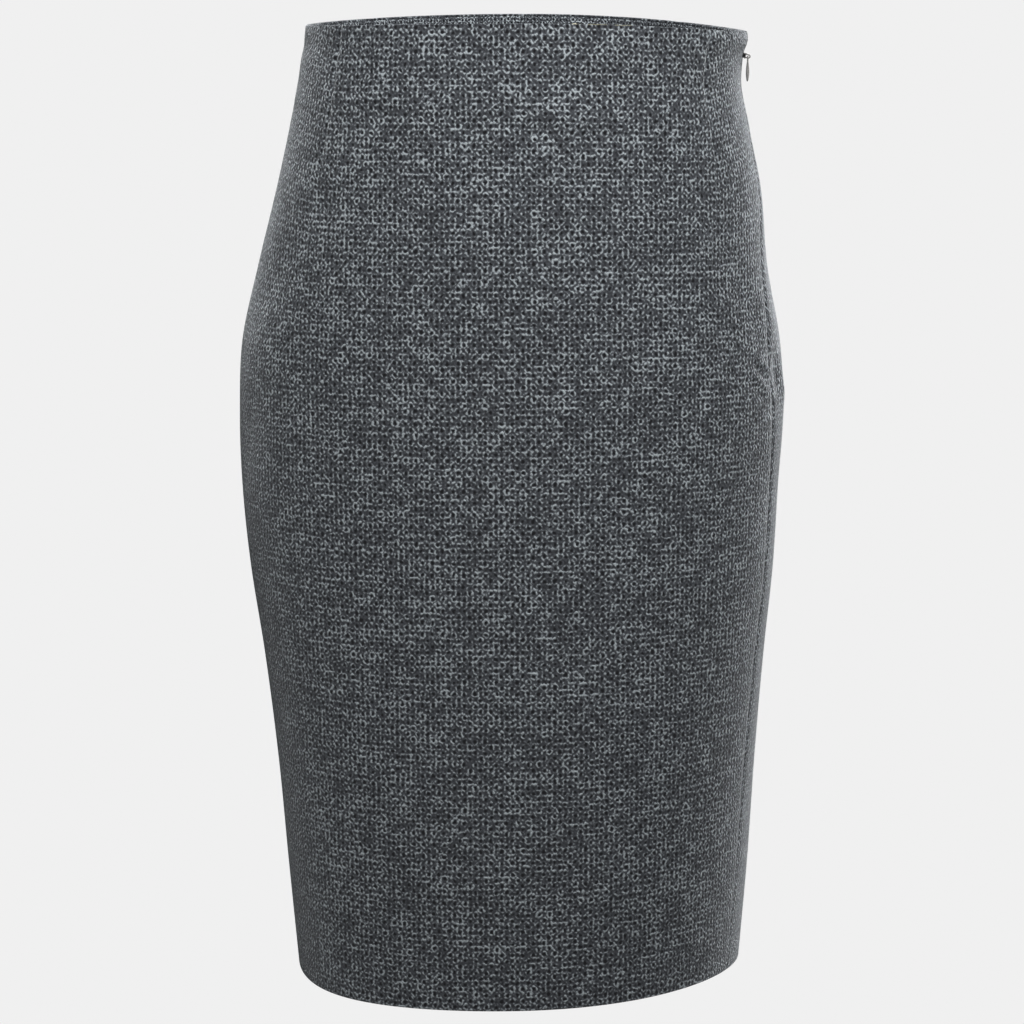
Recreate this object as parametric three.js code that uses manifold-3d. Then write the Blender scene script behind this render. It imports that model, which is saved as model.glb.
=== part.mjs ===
// A pencil skirt, hollow and filled out as it is worn, in millimetres.
// The front faces -Y, the wearer's left with its side zip is +X, and Z is up.
// The origin is the centre of the waist opening, and "drop" is the distance below it.
// "Bearing" is the angle round the skirt: 0 at the centre front, 90 on the wearer's left, 180 behind.
import * as THREE from 'three';
import { mergeVertices } from 'three/addons/utils/BufferGeometryUtils.js';
import Module from 'manifold-3d';

// Driving sizes
const skirtLength = 605; // centre front, from the waist to the hem
const clothWall = 2.0;
const hemWall = 3.2; // where the hem is turned up
const hemTurn = 40;
const hemStep = 2; // the step from single to double cloth takes this much on each side
const seamGap = 0.3;
const layerGap = 0.3;
const rowStep = 21;

const facing = { depth: 58, wall: 1.2, below: 0.8, shortOfZip: 12.5 };
const zip = { top: 4, end: 222, tapeWidth: 10.8, tapeWall: 0.8, fromSeam: 1.4, slider: 15.1 };
const slit = { half: 1.15, height: 4, fade: 2.4 }; // the seam parts round the slider's neck
const vent = { top: 420, underlap: 38, dip: 10, clear: 0.5 };
const frontDart = { left: 52.6, right: -54, length: 92, half: 1.7, groove: 0.9 };
const backDart = { fromCentre: 46, length: 118, half: 1.7, groove: 0.9 };

// Height of the top edge above the waist level, and drop of the hem, at the four quarter points
const topRise = { front: 3.5, left: -3.8, back: 4.1, right: 0 };
const hemDrop = { front: 606.2, left: 603.8, back: 605, right: 606.5 };
const hemLean = 2.1; // the hem hangs lower on the right of the front and higher on its left

// Sections of the skirt: half widths to the wearer's right and left, depths in front and behind,
// how far each side is from an ellipse towards a rounded box, and the bearings of the side seams
const sectionColumns = [
  'drop', 'right', 'left', 'front', 'back', 'boxRight', 'boxLeft', 'boxBack', 'seamLeft', 'seamRight'];
const sections = [
  [0, 136.5, 138.0, 98, 103, 0.012, 0.012, 0.006, 84, 90],
  [8, 137.6, 140.0, 98.8, 103.6, 0.012, 0.012, 0.006, 84, 90],
  [20, 139.5, 137.3, 100, 105, 0.012, 0.012, 0.006, 84, 90.5],
  [32, 141.1, 136.0, 101.5, 106.8, 0.012, 0.012, 0.006, 84, 91],
  [60, 146.6, 140.6, 105, 111.5, 0.012, 0.012, 0.006, 83, 92],
  [100, 155.6, 149.0, 109.5, 119.5, 0.012, 0.012, 0.006, 80, 94],
  [150, 168.2, 153.9, 113, 129.5, 0.012, 0.012, 0.006, 75, 96],
  [200, 179.3, 162.9, 115, 135.5, 0.012, 0.01, 0.004, 70, 97],
  [240, 181.2, 165.5, 116, 136, 0.012, 0.008, 0.004, 70, 97],
  [290, 180.5, 162.8, 116.5, 133, 0.014, 0.006, 0.004, 72, 97],
  [340, 175.9, 160.4, 116.5, 128.5, 0.016, 0.006, 0.004, 72, 97],
  [400, 167.3, 155.0, 116, 123, 0.02, 0.004, 0.004, 71, 97],
  [470, 159.3, 150.0, 115.5, 118, 0.024, 0, 0.004, 70, 97],
  [540, 153.5, 146.1, 114.8, 114, 0.026, -0.002, 0.004, 69, 97],
  [607, 147.6, 141.0, 114.2, 111, 0.028, -0.002, 0.004, 68, 97],
];

// The largest folds, as soft troughs. Columns: bearing and drop of the middle, length, width, slant from
// upright with the top leaning to the wearer's left, and depth (a ridge has a negative depth)
const folds = [
  [75, 214, 34, 9, -12, 2.6],
  [80, 226, 30, 9, -14, -1.8],
  [60, 172, 100, 13, -32, 1.5],
  [46, 176, 84, 13, -52, 1.2],
  [-62, 150, 110, 15, 40, 1.3],
  [-74, 262, 90, 14, 28, 1.1],
  [-150, 176, 96, 14, -38, 1.3],
  [152, 190, 104, 14, 34, 1.4],
  [128, 330, 90, 15, 24, 1.1],
  [-122, 352, 100, 15, -20, 1.1],
];
const foldReach = 60; // degrees of bearing past which a fold is not felt
const foldEnds = 1.4; // how quickly a fold fades towards its two ends
const foldFade = 20; // folds fade out this near the waist and the hem

const tweed = new THREE.MeshStandardMaterial({ color: 0x5a5e63, roughness: 0.95, metalness: 0 });
const tweedInside = new THREE.MeshStandardMaterial({ color: 0x54585d, roughness: 0.95, metalness: 0 });
const tapeCloth = new THREE.MeshStandardMaterial({ color: 0x1c1d20, roughness: 0.9, metalness: 0 });
const nickel = new THREE.MeshStandardMaterial({ color: 0x8f8d8a, roughness: 0.3, metalness: 1 });

const wasm = await Module();
wasm.setup();

const radians = THREE.MathUtils.degToRad;

// A column of the section table at any drop, on a smooth curve through its rows
function section(name, drop) {
  const column = sectionColumns.indexOf(name);
  const last = sections.length - 1;
  const rise = (i) => sections[i + 1][column] - sections[i][column];
  const slope = (i) => rise(i) / (sections[i + 1][0] - sections[i][0]);
  const tangent = (i) => {
    if (i === 0) return slope(0);
    if (i === last) return slope(last - 1);
    const before = sections[i][0] - sections[i - 1][0];
    const after = sections[i + 1][0] - sections[i][0];
    return (after * slope(i - 1) + before * slope(i)) / (before + after);
  };
  let i = 0;
  while (i < last - 1 && drop >= sections[i + 1][0]) i += 1;
  const span = sections[i + 1][0] - sections[i][0];
  const t = (drop - sections[i][0]) / span;
  return (2 * t ** 3 - 3 * t ** 2 + 1) * sections[i][column]
    + (t ** 3 - 2 * t ** 2 + t) * span * tangent(i)
    + (3 * t ** 2 - 2 * t ** 3) * sections[i + 1][column]
    + (t ** 3 - t ** 2) * span * tangent(i + 1);
}

// A value given at the front, left, back and right, carried smoothly round the skirt
function round(quarters, bearing) {
  const across = Math.sin(radians(bearing));
  const ahead = Math.cos(radians(bearing));
  const side = across > 0 ? quarters.left : quarters.right;
  const face = ahead > 0 ? quarters.front : quarters.back;
  return side * across ** 2 + face * ahead ** 2;
}

// The drop of a row at a bearing: row 0 is the top edge and row skirtLength is the hem
function dropOf(bearing, row) {
  const share = row / skirtLength;
  const lean = Math.cos(radians(bearing)) > 0 ? hemLean * Math.sin(radians(2 * bearing)) : 0;
  return -round(topRise, bearing) * (1 - share) + (round(hemDrop, bearing) - lean) * share;
}

// The skirt's smooth outside: a quarter ellipse in each quarter, pressed out at its corners
function smoothSkin(bearing, row) {
  const drop = dropOf(bearing, row);
  const angle = radians(bearing);
  const s = Math.sin(angle);
  const c = Math.cos(angle);
  const frontBox = section('boxRight', drop) * (1 - s) / 2 + section('boxLeft', drop) * (1 + s) / 2;
  const ahead = THREE.MathUtils.smoothstep(c, -0.3, 0.3);
  const box = frontBox * ahead + section('boxBack', drop) * (1 - ahead);
  const x = section(s > 0 ? 'left' : 'right', drop) * (s + box * Math.sin(3 * angle)) / (1 - box);
  const y = -section(c > 0 ? 'front' : 'back', drop) * (c - box * Math.cos(3 * angle)) / (1 - box);
  return new THREE.Vector3(x, y, -drop);
}

function outward(bearing, row) {
  const across = smoothSkin(bearing + 0.5, row).sub(smoothSkin(bearing - 0.5, row));
  const down = smoothSkin(bearing, row + 1).sub(smoothSkin(bearing, row - 1));
  return down.cross(across).normalize();
}

// Millimetres round the skirt for one degree of bearing
function perDegree(bearing, row) {
  return smoothSkin(bearing + 0.5, row).distanceTo(smoothSkin(bearing - 0.5, row));
}

// How far the folds push the cloth in at a point
function foldDepth(bearing, row) {
  let depth = 0;
  for (const fold of folds) {
    const [at, drop, length, width, slant, deep] = fold;
    let turn = bearing - at;
    turn -= 360 * Math.round(turn / 360);
    if (Math.abs(turn) > foldReach) continue;
    const aside = turn * perDegree(at, drop);
    const below = row - drop;
    const lean = radians(slant);
    const along = (below * Math.cos(lean) - aside * Math.sin(lean)) / (length / 2);
    const off = (aside * Math.cos(lean) + below * Math.sin(lean)) / width;
    depth += deep * Math.exp(-(along ** 2) * foldEnds - off ** 2);
  }
  return depth;
}

// A point of the cloth, moved out along the smooth outside's normal
function skin(bearing, row, out) {
  const calm = THREE.MathUtils.clamp(Math.min(row, skirtLength - row) / foldFade, 0, 1);
  const far = out - calm * foldDepth(bearing, row);
  return smoothSkin(bearing, row).addScaledVector(outward(bearing, row), far);
}

// Rows down the skirt: one at each mark, and even steps between them
function rowsThrough(marks) {
  const rows = [];
  for (let i = 0; i < marks.length - 1; i += 1) {
    const steps = Math.ceil((marks[i + 1] - marks[i]) / rowStep);
    for (let k = 0; k < steps; k += 1) rows.push(marks[i] + (marks[i + 1] - marks[i]) * k / steps);
  }
  return [...rows, marks.at(-1)];
}

// Bearings across a piece: even steps between one stop and the next
function across(stops, steps) {
  const bearings = [];
  steps.forEach((count, i) => {
    for (let k = 0; k < count; k += 1) bearings.push(stops[i] + (stops[i + 1] - stops[i]) * k / count);
  });
  return [...bearings, stops.at(-1)];
}

// A closed wall over a grid of cells. point(i, j, side) gives the outside for side 0 and the inside for
// side 1, in column i and row j, and has(i, j) says which cells of the grid are cloth
function clothWallOver(columnCount, rowCount, point, has = () => true) {
  const corners = new Map();
  const positions = [];
  const faces = [];
  const corner = (i, j, side) => {
    const key = `${i},${j},${side}`;
    if (!corners.has(key)) {
      corners.set(key, positions.length / 3);
      positions.push(...point(i, j, side).toArray());
    }
    return corners.get(key);
  };
  const quad = (a, b, c, d) => faces.push(a, b, c, a, c, d);
  const cell = (i, j) => i >= 0 && j >= 0 && i < columnCount - 1 && j < rowCount - 1 && has(i, j);
  for (let j = 0; j < rowCount - 1; j += 1) {
    for (let i = 0; i < columnCount - 1; i += 1) {
      if (!cell(i, j)) continue;
      const [a, b, c, d] = [[i, j], [i, j + 1], [i + 1, j + 1], [i + 1, j]];
      quad(corner(...a, 0), corner(...b, 0), corner(...c, 0), corner(...d, 0));
      quad(corner(...a, 1), corner(...d, 1), corner(...c, 1), corner(...b, 1));
      const rim = (from, to) => quad(
        corner(...from, 0), corner(...from, 1), corner(...to, 1), corner(...to, 0));
      if (!cell(i - 1, j)) rim(a, b);
      if (!cell(i, j + 1)) rim(b, c);
      if (!cell(i + 1, j)) rim(c, d);
      if (!cell(i, j - 1)) rim(d, a);
    }
  }
  const geometry = new THREE.BufferGeometry();
  geometry.setAttribute('position', new THREE.Float32BufferAttribute(positions, 3));
  geometry.setIndex(faces);
  return geometry;
}

function named(name, geometry, material) {
  const mesh = new THREE.Mesh(geometry, material);
  mesh.name = name;
  return mesh;
}

const slitTop = zip.slider - slit.height / 2;
const slitEnd = zip.slider + slit.height / 2;
const panelRows = rowsThrough([
  0, slitTop - slit.fade, slitTop, slitEnd, slitEnd + slit.fade, facing.depth, zip.end, vent.top,
  skirtLength - hemTurn - hemStep, skirtLength - hemTurn + hemStep, skirtLength]);

// Thickness of the cloth at a row: double at the turned-up hem
function thickness(row) {
  return row > skirtLength - hemTurn ? hemWall : clothWall;
}

// Bearing of a seam, less half of the gap; the zip seam parts round the slider's neck
function leftSeam(row, towards, apart = seamGap / 2) {
  const bearing = section('seamLeft', dropOf(90, row));
  const past = Math.abs(row - zip.slider) - slit.height / 2;
  const atSlider = 1 - THREE.MathUtils.clamp(past / slit.fade, 0, 1);
  const half = apart + Math.max(slit.half - apart, 0) * atSlider;
  return bearing + towards * half / perDegree(bearing, row);
}

// Where the facings end beside the zip's tapes
function besideZip(row, towards) {
  const seam = leftSeam(row, 0);
  return seam + towards * facing.shortOfZip / perDegree(seam, row);
}

function rightSeam(row, towards) {
  const bearing = -section('seamRight', dropOf(-90, row));
  return bearing + towards * seamGap / 2 / perDegree(bearing, row);
}

function centreBack(row, towards) {
  return 180 + towards * seamGap / 2 / perDegree(180, row);
}

function dartStops(at, half) {
  return [at - half, at, at + half];
}

// Depth of the groove along a dart's seam, deepest at the waist and gone at its point
function dartGroove(bearing, row, at, dart) {
  const onSeam = Math.abs(bearing - at) < 0.01;
  return onSeam ? dart.groove * Math.max(1 - row / dart.length, 0) : 0;
}

const frontSteps = [6, 1, 1, 15, 1, 1, 4, 1];
function frontBearings(row) {
  return across([
    rightSeam(row, 1), ...dartStops(frontDart.right, frontDart.half),
    ...dartStops(frontDart.left, frontDart.half), besideZip(row, -1), leftSeam(row, -1)], frontSteps);
}

function frontPanel() {
  const groove = (bearing, row) => dartGroove(bearing, row, frontDart.left, frontDart)
    + dartGroove(bearing, row, frontDart.right, frontDart);
  const columns = frontBearings(0).length;
  return named('front_panel', clothWallOver(columns, panelRows.length, (i, j, side) => {
    const row = panelRows[j];
    const bearing = frontBearings(row)[i];
    return skin(bearing, row, -groove(bearing, row) - side * thickness(row));
  }), tweed);
}

const backLeftDart = 180 - backDart.fromCentre;
const backRightDart = 180 + backDart.fromCentre;
const backLeftSteps = [1, 5, 1, 1, 7, 1];
function backLeftBearings(row) {
  const centre = centreBack(row, -1);
  return across([
    leftSeam(row, 1), besideZip(row, 1), ...dartStops(backLeftDart, backDart.half),
    centre - vent.dip / perDegree(180, row), centre], backLeftSteps);
}

function backLeftPanel() {
  const columns = backLeftBearings(0).length;
  return named('back_left_panel', clothWallOver(columns, panelRows.length, (i, j, side) => {
    const row = panelRows[j];
    const bearing = backLeftBearings(row)[i];
    return skin(bearing, row, -dartGroove(bearing, row, backLeftDart, backDart) - side * thickness(row));
  }), tweed);
}

// The wearer's right half of the back. Below the vent's top it dips under the left half and goes on
// behind it as the underlap
const backRightSteps = [3, 1, 7, 1, 1, 5];
const underlapCells = backRightSteps[0];
function backRightBearings(row) {
  const centre = centreBack(row, 1);
  const far = centre - vent.underlap / perDegree(180, row);
  return across([
    far, centre, centre + vent.dip / perDegree(180, row), ...dartStops(backRightDart, backDart.half),
    rightSeam(row, -1) + 360], backRightSteps);
}

function backRightPanel() {
  const columns = backRightBearings(0).length;
  const ventRow = panelRows.indexOf(vent.top);
  return named('back_right_panel', clothWallOver(columns, panelRows.length, (i, j, side) => {
    const row = panelRows[j];
    const bearing = backRightBearings(row)[i];
    const under = i <= underlapCells && j >= ventRow ? thickness(row) + vent.clear : 0;
    const wall = i < underlapCells ? clothWall : thickness(row);
    return skin(bearing, row, -under - dartGroove(bearing, row, backRightDart, backDart) - side * wall);
  }, (i, j) => i >= underlapCells || j >= ventRow), tweed);
}

const facingRows = panelRows.filter((row) => row <= facing.depth);
function facingPoint(bearing, row, side) {
  const start = clothWall + layerGap;
  return skin(bearing, Math.max(row, facing.below), -start - side * facing.wall);
}

// The facings lie against the panels on the same bearings, and stop short of the zip's tapes
function frontFacing() {
  const bearings = (row) => frontBearings(row).slice(0, -1);
  const groove = (bearing, row) => dartGroove(bearing, row, frontDart.left, frontDart)
    + dartGroove(bearing, row, frontDart.right, frontDart);
  return named('front_facing', clothWallOver(bearings(0).length, facingRows.length, (i, j, side) => {
    const row = facingRows[j];
    const bearing = bearings(row)[i];
    return facingPoint(bearing, row, side + groove(bearing, row) / facing.wall);
  }), tweedInside);
}

function backFacing() {
  const bearings = (row) => [
    ...backLeftBearings(row).slice(1, -1), 180, ...backRightBearings(row).slice(underlapCells + 1)];
  const groove = (bearing, row) => dartGroove(bearing, row, backLeftDart, backDart)
    + dartGroove(bearing, row, backRightDart, backDart);
  return named('back_facing', clothWallOver(bearings(0).length, facingRows.length, (i, j, side) => {
    const row = facingRows[j];
    const bearing = bearings(row)[i];
    return facingPoint(bearing, row, side + groove(bearing, row) / facing.wall);
  }), tweedInside);
}

// A zip tape lies inside the side seam, from its free edge to the coil
function zipTape(name, towards) {
  const rows = panelRows.filter((row) => row > zip.top && row <= zip.end);
  const bearings = (row) => {
    const seam = leftSeam(row, 0);
    const near = seam + towards * zip.fromSeam / perDegree(seam, row);
    const far = seam + towards * (zip.fromSeam + zip.tapeWidth) / perDegree(seam, row);
    return [Math.min(near, far), Math.max(near, far)];
  };
  return named(name, clothWallOver(2, rows.length, (i, j, side) => {
    const start = clothWall + layerGap;
    return skin(bearings(rows[j])[i], rows[j], -start - side * zip.tapeWall);
  }), tapeCloth);
}

// Sizes of the slider and its pull, from a point on the cloth at the slider: X out of the cloth, Z up
const sliderSize = {
  head: { from: 0.8, thick: 0.6, width: 3, height: 3.6 },
  neck: { width: 1.5, height: 3 },
  body: { thick: 2.2, width: 7, height: 8, clear: 0.45 },
  bridge: { reach: 4.4, height: 2.8, bar: 0.8, width: 2 },
};
const pullSize = {
  hinge: 2.6, width: 4.2, tip: 15.6, waist: 3, waistAt: 6.8, topBar: 0.8, windowWidth: 2.9, windowEnd: 2.8,
  topThick: 0.8, fullThick: 2, fullAt: 10, tipThick: 0.8,
};
const overlap = 0.1; // shapes that are joined run into each other by this much

// A closed geometry as a solid: its corners are merged and the slivers between doubled points dropped
function solid(geometry) {
  geometry.deleteAttribute('normal');
  geometry.deleteAttribute('uv');
  const merged = mergeVertices(geometry, 1e-4);
  const order = Array.from(merged.index.array);
  const triangles = [];
  for (let i = 0; i < order.length; i += 3) {
    const [a, b, c] = order.slice(i, i + 3);
    if (a !== b && b !== c && c !== a) triangles.push(a, b, c);
  }
  return new wasm.Manifold(new wasm.Mesh({
    numProp: 3,
    vertProperties: new Float32Array(merged.getAttribute('position').array),
    triVerts: new Uint32Array(triangles),
  }));
}

function geometryOf(manifold) {
  const mesh = manifold.getMesh();
  const geometry = new THREE.BufferGeometry();
  geometry.setAttribute('position', new THREE.BufferAttribute(mesh.vertProperties, 3));
  geometry.setIndex(new THREE.BufferAttribute(mesh.triVerts, 1));
  return geometry;
}

function block(fromX, toX, width, height) {
  return solid(new THREE.BoxGeometry(toX - fromX, width, height).translate((fromX + toX) / 2, 0, 0));
}

// An outline given a thickness, half of it on each side
function thickened(shape, depth, curveSegments) {
  const body = new THREE.ExtrudeGeometry(shape, { depth, bevelEnabled: false, curveSegments });
  return body.translate(0, 0, -depth / 2);
}

// Half of a rounded outline in X and Z, as the bridge is seen from the side
function arch(reach, height) {
  const shape = new THREE.Shape();
  shape.moveTo(0, -height / 2);
  shape.lineTo(reach - height / 2, -height / 2);
  shape.absarc(reach - height / 2, 0, height / 2, -Math.PI / 2, Math.PI / 2, false);
  shape.lineTo(0, height / 2);
  shape.closePath();
  return shape;
}

function zipSlider() {
  const { head, neck, body, bridge } = sliderSize;
  const behind = -clothWall - layerGap - zip.tapeWall - body.clear;
  const shape = arch(bridge.reach, bridge.height);
  const inner = arch(bridge.reach - bridge.bar, bridge.height - 2 * bridge.bar).getPoints(8).reverse();
  const innerFrom = head.from + 2 * overlap;
  shape.holes.push(new THREE.Path(inner.map((p) => new THREE.Vector2(Math.max(p.x, innerFrom), p.y))));
  const loop = thickened(shape, bridge.width, 10).rotateX(Math.PI / 2);
  const outside = block(head.from, 2 * bridge.reach, 2 * bridge.width, 2 * bridge.height);
  const joined = solid(loop).intersect(outside)
    .add(block(head.from, head.from + head.thick, head.width, head.height))
    .add(block(behind - overlap, head.from + overlap, neck.width, neck.height))
    .add(block(behind - body.thick, behind, body.width, body.height));
  return named('zip_slider', geometryOf(joined), nickel);
}

// The pull from the side: thin beside its window, thickest below it, and thin again at the tip
function pullSide() {
  const { topBar, topThick, fullThick, fullAt, tipThick, windowEnd, tip } = pullSize;
  const end = -tip - overlap;
  const side = new THREE.Shape();
  side.moveTo(-topThick / 2, topBar);
  side.lineTo(topThick / 2, topBar);
  side.lineTo(topThick / 2, -windowEnd);
  side.splineThru([new THREE.Vector2(fullThick / 2, -fullAt), new THREE.Vector2(tipThick / 2, end)]);
  side.lineTo(-tipThick / 2, end);
  side.splineThru([new THREE.Vector2(-fullThick / 2, -fullAt), new THREE.Vector2(-topThick / 2, -windowEnd)]);
  side.closePath();
  return side;
}

// The pull from the front: a strip with a slight waist and a round tip
function pullFace() {
  const { topBar, width, waist, waistAt, windowEnd, tip } = pullSize;
  const round = -tip + width / 2;
  const face = new THREE.Shape();
  face.moveTo(-width / 2, topBar / 2);
  face.lineTo(width / 2, topBar / 2);
  face.lineTo(width / 2, -windowEnd);
  face.splineThru([new THREE.Vector2(waist / 2, -waistAt), new THREE.Vector2(width / 2, round)]);
  face.absarc(0, round, width / 2, 0, -Math.PI, true);
  face.splineThru([new THREE.Vector2(-waist / 2, -waistAt), new THREE.Vector2(-width / 2, -windowEnd)]);
  face.closePath();
  return face;
}

// The pull is its two outlines crossed, with a window; its top bar lies inside the bridge and turns there
function zipPull() {
  const { fullThick, width, topBar, windowWidth, windowEnd } = pullSize;
  const tab = thickened(pullFace(), 2 * fullThick, 6).rotateX(Math.PI / 2).rotateZ(Math.PI / 2);
  const side = thickened(pullSide(), 2 * width, 4).rotateX(Math.PI / 2);
  const windowHeight = windowEnd - topBar / 2;
  const window = new THREE.BoxGeometry(2 * fullThick, windowWidth, windowHeight);
  window.translate(0, 0, -topBar / 2 - windowHeight / 2);
  return named('zip_pull', geometryOf(solid(tab).intersect(solid(side)).subtract(solid(window))), nickel);
}

const skirt = new THREE.Group();
skirt.add(
  frontPanel(), backLeftPanel(), backRightPanel(), frontFacing(), backFacing(),
  zipTape('zip_tape_front', -1), zipTape('zip_tape_back', 1));

// The slider stands square on the side seam, and the pull hangs upright from its bridge
const sliderBearing = leftSeam(zip.slider, 0);
const sliderFace = outward(sliderBearing, zip.slider);
const zipHead = new THREE.Group();
zipHead.position.copy(skin(sliderBearing, zip.slider, 0));
zipHead.rotation.z = Math.atan2(sliderFace.y, sliderFace.x);
const tilt = Math.asin(sliderFace.z);
const slider = zipSlider();
slider.rotation.y = -tilt;
const pull = zipPull();
pull.position.set(pullSize.hinge * Math.cos(tilt), 0, pullSize.hinge * Math.sin(tilt));
zipHead.add(slider, pull);
skirt.add(zipHead);

export default skirt;
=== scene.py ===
import math
import bmesh
import bpy
import numpy as np
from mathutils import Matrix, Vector


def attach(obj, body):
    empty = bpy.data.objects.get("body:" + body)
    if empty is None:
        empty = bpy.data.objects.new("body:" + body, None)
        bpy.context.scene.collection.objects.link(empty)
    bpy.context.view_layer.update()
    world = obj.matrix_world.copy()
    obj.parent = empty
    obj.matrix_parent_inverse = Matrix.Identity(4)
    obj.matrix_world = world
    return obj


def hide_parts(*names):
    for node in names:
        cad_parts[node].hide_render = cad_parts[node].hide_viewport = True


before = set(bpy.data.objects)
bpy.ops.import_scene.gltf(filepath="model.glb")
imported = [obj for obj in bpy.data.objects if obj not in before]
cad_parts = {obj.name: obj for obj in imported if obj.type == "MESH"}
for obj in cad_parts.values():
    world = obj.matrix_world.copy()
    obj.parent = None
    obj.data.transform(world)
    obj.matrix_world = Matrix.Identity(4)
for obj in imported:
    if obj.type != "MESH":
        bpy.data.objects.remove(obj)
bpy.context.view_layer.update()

skirt = {
    "length": 0.605, "wall": 0.0020, "hemWall": 0.0032, "hemTurn": 0.040, "hemStep": 0.004,
    "gap": 0.00012, "step": 0.0030, "edgeRound": 0.0007, "foldFade": 0.020, "boxBlend": 0.3,
}
# The facing's brightness gain is painted light: it makes its tweed lighter to stand in for the light that the
# inside of the skirt doesn't get
facing = {"depth": 0.058, "wall": 0.0012, "below": 0.0012, "shortOfZip": 0.0125, "softEdge": 0.7,
          "paintedLightGain": 1.35, "finer": 1.5}
zipper = {"top": 0.0107, "end": 0.222, "tapeWidth": 0.0108, "tapeWall": 0.0008, "tapeStep": 0.0012,
          "fromSeam": 0.0014, "slider": 0.0151, "slitHalf": 0.00115, "slitHeight": 0.004, "slitFade": 0.0024}
vent = {"top": 0.420, "underlap": 0.038, "dip": 0.010, "clear": 0.0005, "rise": 0.021, "sewnFade": 0.010}
frontDart = {"left": 52.6, "right": -54.0, "length": 0.092, "takesUp": 0.020,
             "groove": 0.0011, "soft": 0.0016}
backDart = {"fromCentre": 46.0, "length": 0.118, "takesUp": 0.026, "groove": 0.0009, "soft": 0.0024}

# How far the top edge rises above the waist's level and the hem hangs below it, at each quarter
topRise = {"front": 0.0035, "left": -0.0038, "back": 0.0041, "right": 0.0}
hemDrop = {"front": 0.6062, "left": 0.6038, "back": 0.605, "right": 0.6065}
hemLean = 0.0021

# Half widths, depths, how boxy each quarter is, and the bearings of the side seams, down the skirt
sectionNames = ("drop", "right", "left", "front", "back",
                "boxRight", "boxLeft", "boxBack", "seamLeft", "seamRight")
sections = np.array([
    (0.000, 0.1365, 0.1380, 0.0980, 0.1030, 0.012, 0.012, 0.006, 84, 90),
    (0.008, 0.1376, 0.1400, 0.0988, 0.1036, 0.012, 0.012, 0.006, 84, 90),
    (0.020, 0.1395, 0.1373, 0.1000, 0.1050, 0.012, 0.012, 0.006, 84, 90.5),
    (0.032, 0.1411, 0.1360, 0.1015, 0.1068, 0.012, 0.012, 0.006, 84, 91),
    (0.060, 0.1466, 0.1406, 0.1050, 0.1115, 0.012, 0.012, 0.006, 83, 92),
    (0.100, 0.1556, 0.1490, 0.1095, 0.1195, 0.012, 0.012, 0.006, 80, 94),
    (0.150, 0.1682, 0.1539, 0.1130, 0.1295, 0.012, 0.012, 0.006, 75, 96),
    (0.200, 0.1793, 0.1629, 0.1150, 0.1355, 0.012, 0.010, 0.004, 70, 97),
    (0.240, 0.1812, 0.1655, 0.1160, 0.1360, 0.012, 0.008, 0.004, 70, 97),
    (0.290, 0.1805, 0.1628, 0.1165, 0.1330, 0.014, 0.006, 0.004, 72, 97),
    (0.340, 0.1759, 0.1604, 0.1165, 0.1285, 0.016, 0.006, 0.004, 72, 97),
    (0.400, 0.1673, 0.1550, 0.1160, 0.1230, 0.020, 0.004, 0.004, 71, 97),
    (0.470, 0.1593, 0.1500, 0.1155, 0.1180, 0.024, 0.000, 0.004, 70, 97),
    (0.540, 0.1535, 0.1461, 0.1148, 0.1140, 0.026, -0.002, 0.004, 69, 97),
    (0.607, 0.1476, 0.1410, 0.1142, 0.1110, 0.028, -0.002, 0.004, 68, 97),
])

# Folds as soft troughs: bearing and row of the middle, length, width, slant from upright with the top
# leaning to the wearer's left, and depth, where a ridge has a negative depth
folds = (
    (75, 0.214, 0.034, 0.009, -12, 0.0026),    # the pucker at the zip's lower end
    (80, 0.226, 0.030, 0.009, -14, -0.0018),
    (63.5, 0.2120, 0.026, 0.0030, -56, 0.0013),    # small ripples on the front beside it
    (64.5, 0.2065, 0.026, 0.0030, -56, -0.0011),
    (62.0, 0.2180, 0.024, 0.0030, -56, -0.0011),
    (61.0, 0.2235, 0.022, 0.0030, -56, 0.0009),
    (60, 0.172, 0.100, 0.013, -32, 0.0015),    # drag lines from the zip's end
    (46, 0.176, 0.084, 0.013, -52, 0.0012),
    (-62, 0.150, 0.110, 0.015, 40, 0.0013),    # drag lines on the other hip
    (-74, 0.262, 0.090, 0.014, 28, 0.0011),
    (-150, 0.176, 0.096, 0.014, -38, 0.0013),    # the seat
    (152, 0.190, 0.104, 0.014, 34, 0.0014),
    (128, 0.330, 0.090, 0.015, 24, 0.0011),    # under the seat
    (-122, 0.352, 0.100, 0.015, -20, 0.0011),
)
foldBell = {"endwise": 1.4, "reach": 60}    # how fast a fold dies along its length, and degrees it may reach


def smoothStep(share):
    # Three t squared less two t cubed: from 0 to 1, level at both ends
    t = np.clip(share, 0, 1)
    return t**2 * (3 - 2 * t)


def bell(distance, width):
    # e to the minus square of the distance in widths
    return np.exp(-(distance / width) ** 2)


def columnAt(name, drop):
    # A column of the section table at any drop, by a cubic between its rows with the slopes of its neighbours
    known, values = sections[:, 0], sections[:, sectionNames.index(name)]
    span = np.diff(known)
    slope = np.diff(values) / span
    middle = (span[1:] * slope[:-1] + span[:-1] * slope[1:]) / (span[1:] + span[:-1])
    tangent = np.concatenate(([slope[0]], middle, [slope[-1]]))
    i = np.clip(np.searchsorted(known, drop, side="right") - 1, 0, len(known) - 2)
    t = (drop - known[i]) / span[i]
    return ((2 * t**3 - 3 * t**2 + 1) * values[i] + (t**3 - 2 * t**2 + t) * span[i] * tangent[i]
            + (3 * t**2 - 2 * t**3) * values[i + 1] + (t**3 - t**2) * span[i] * tangent[i + 1])


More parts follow.
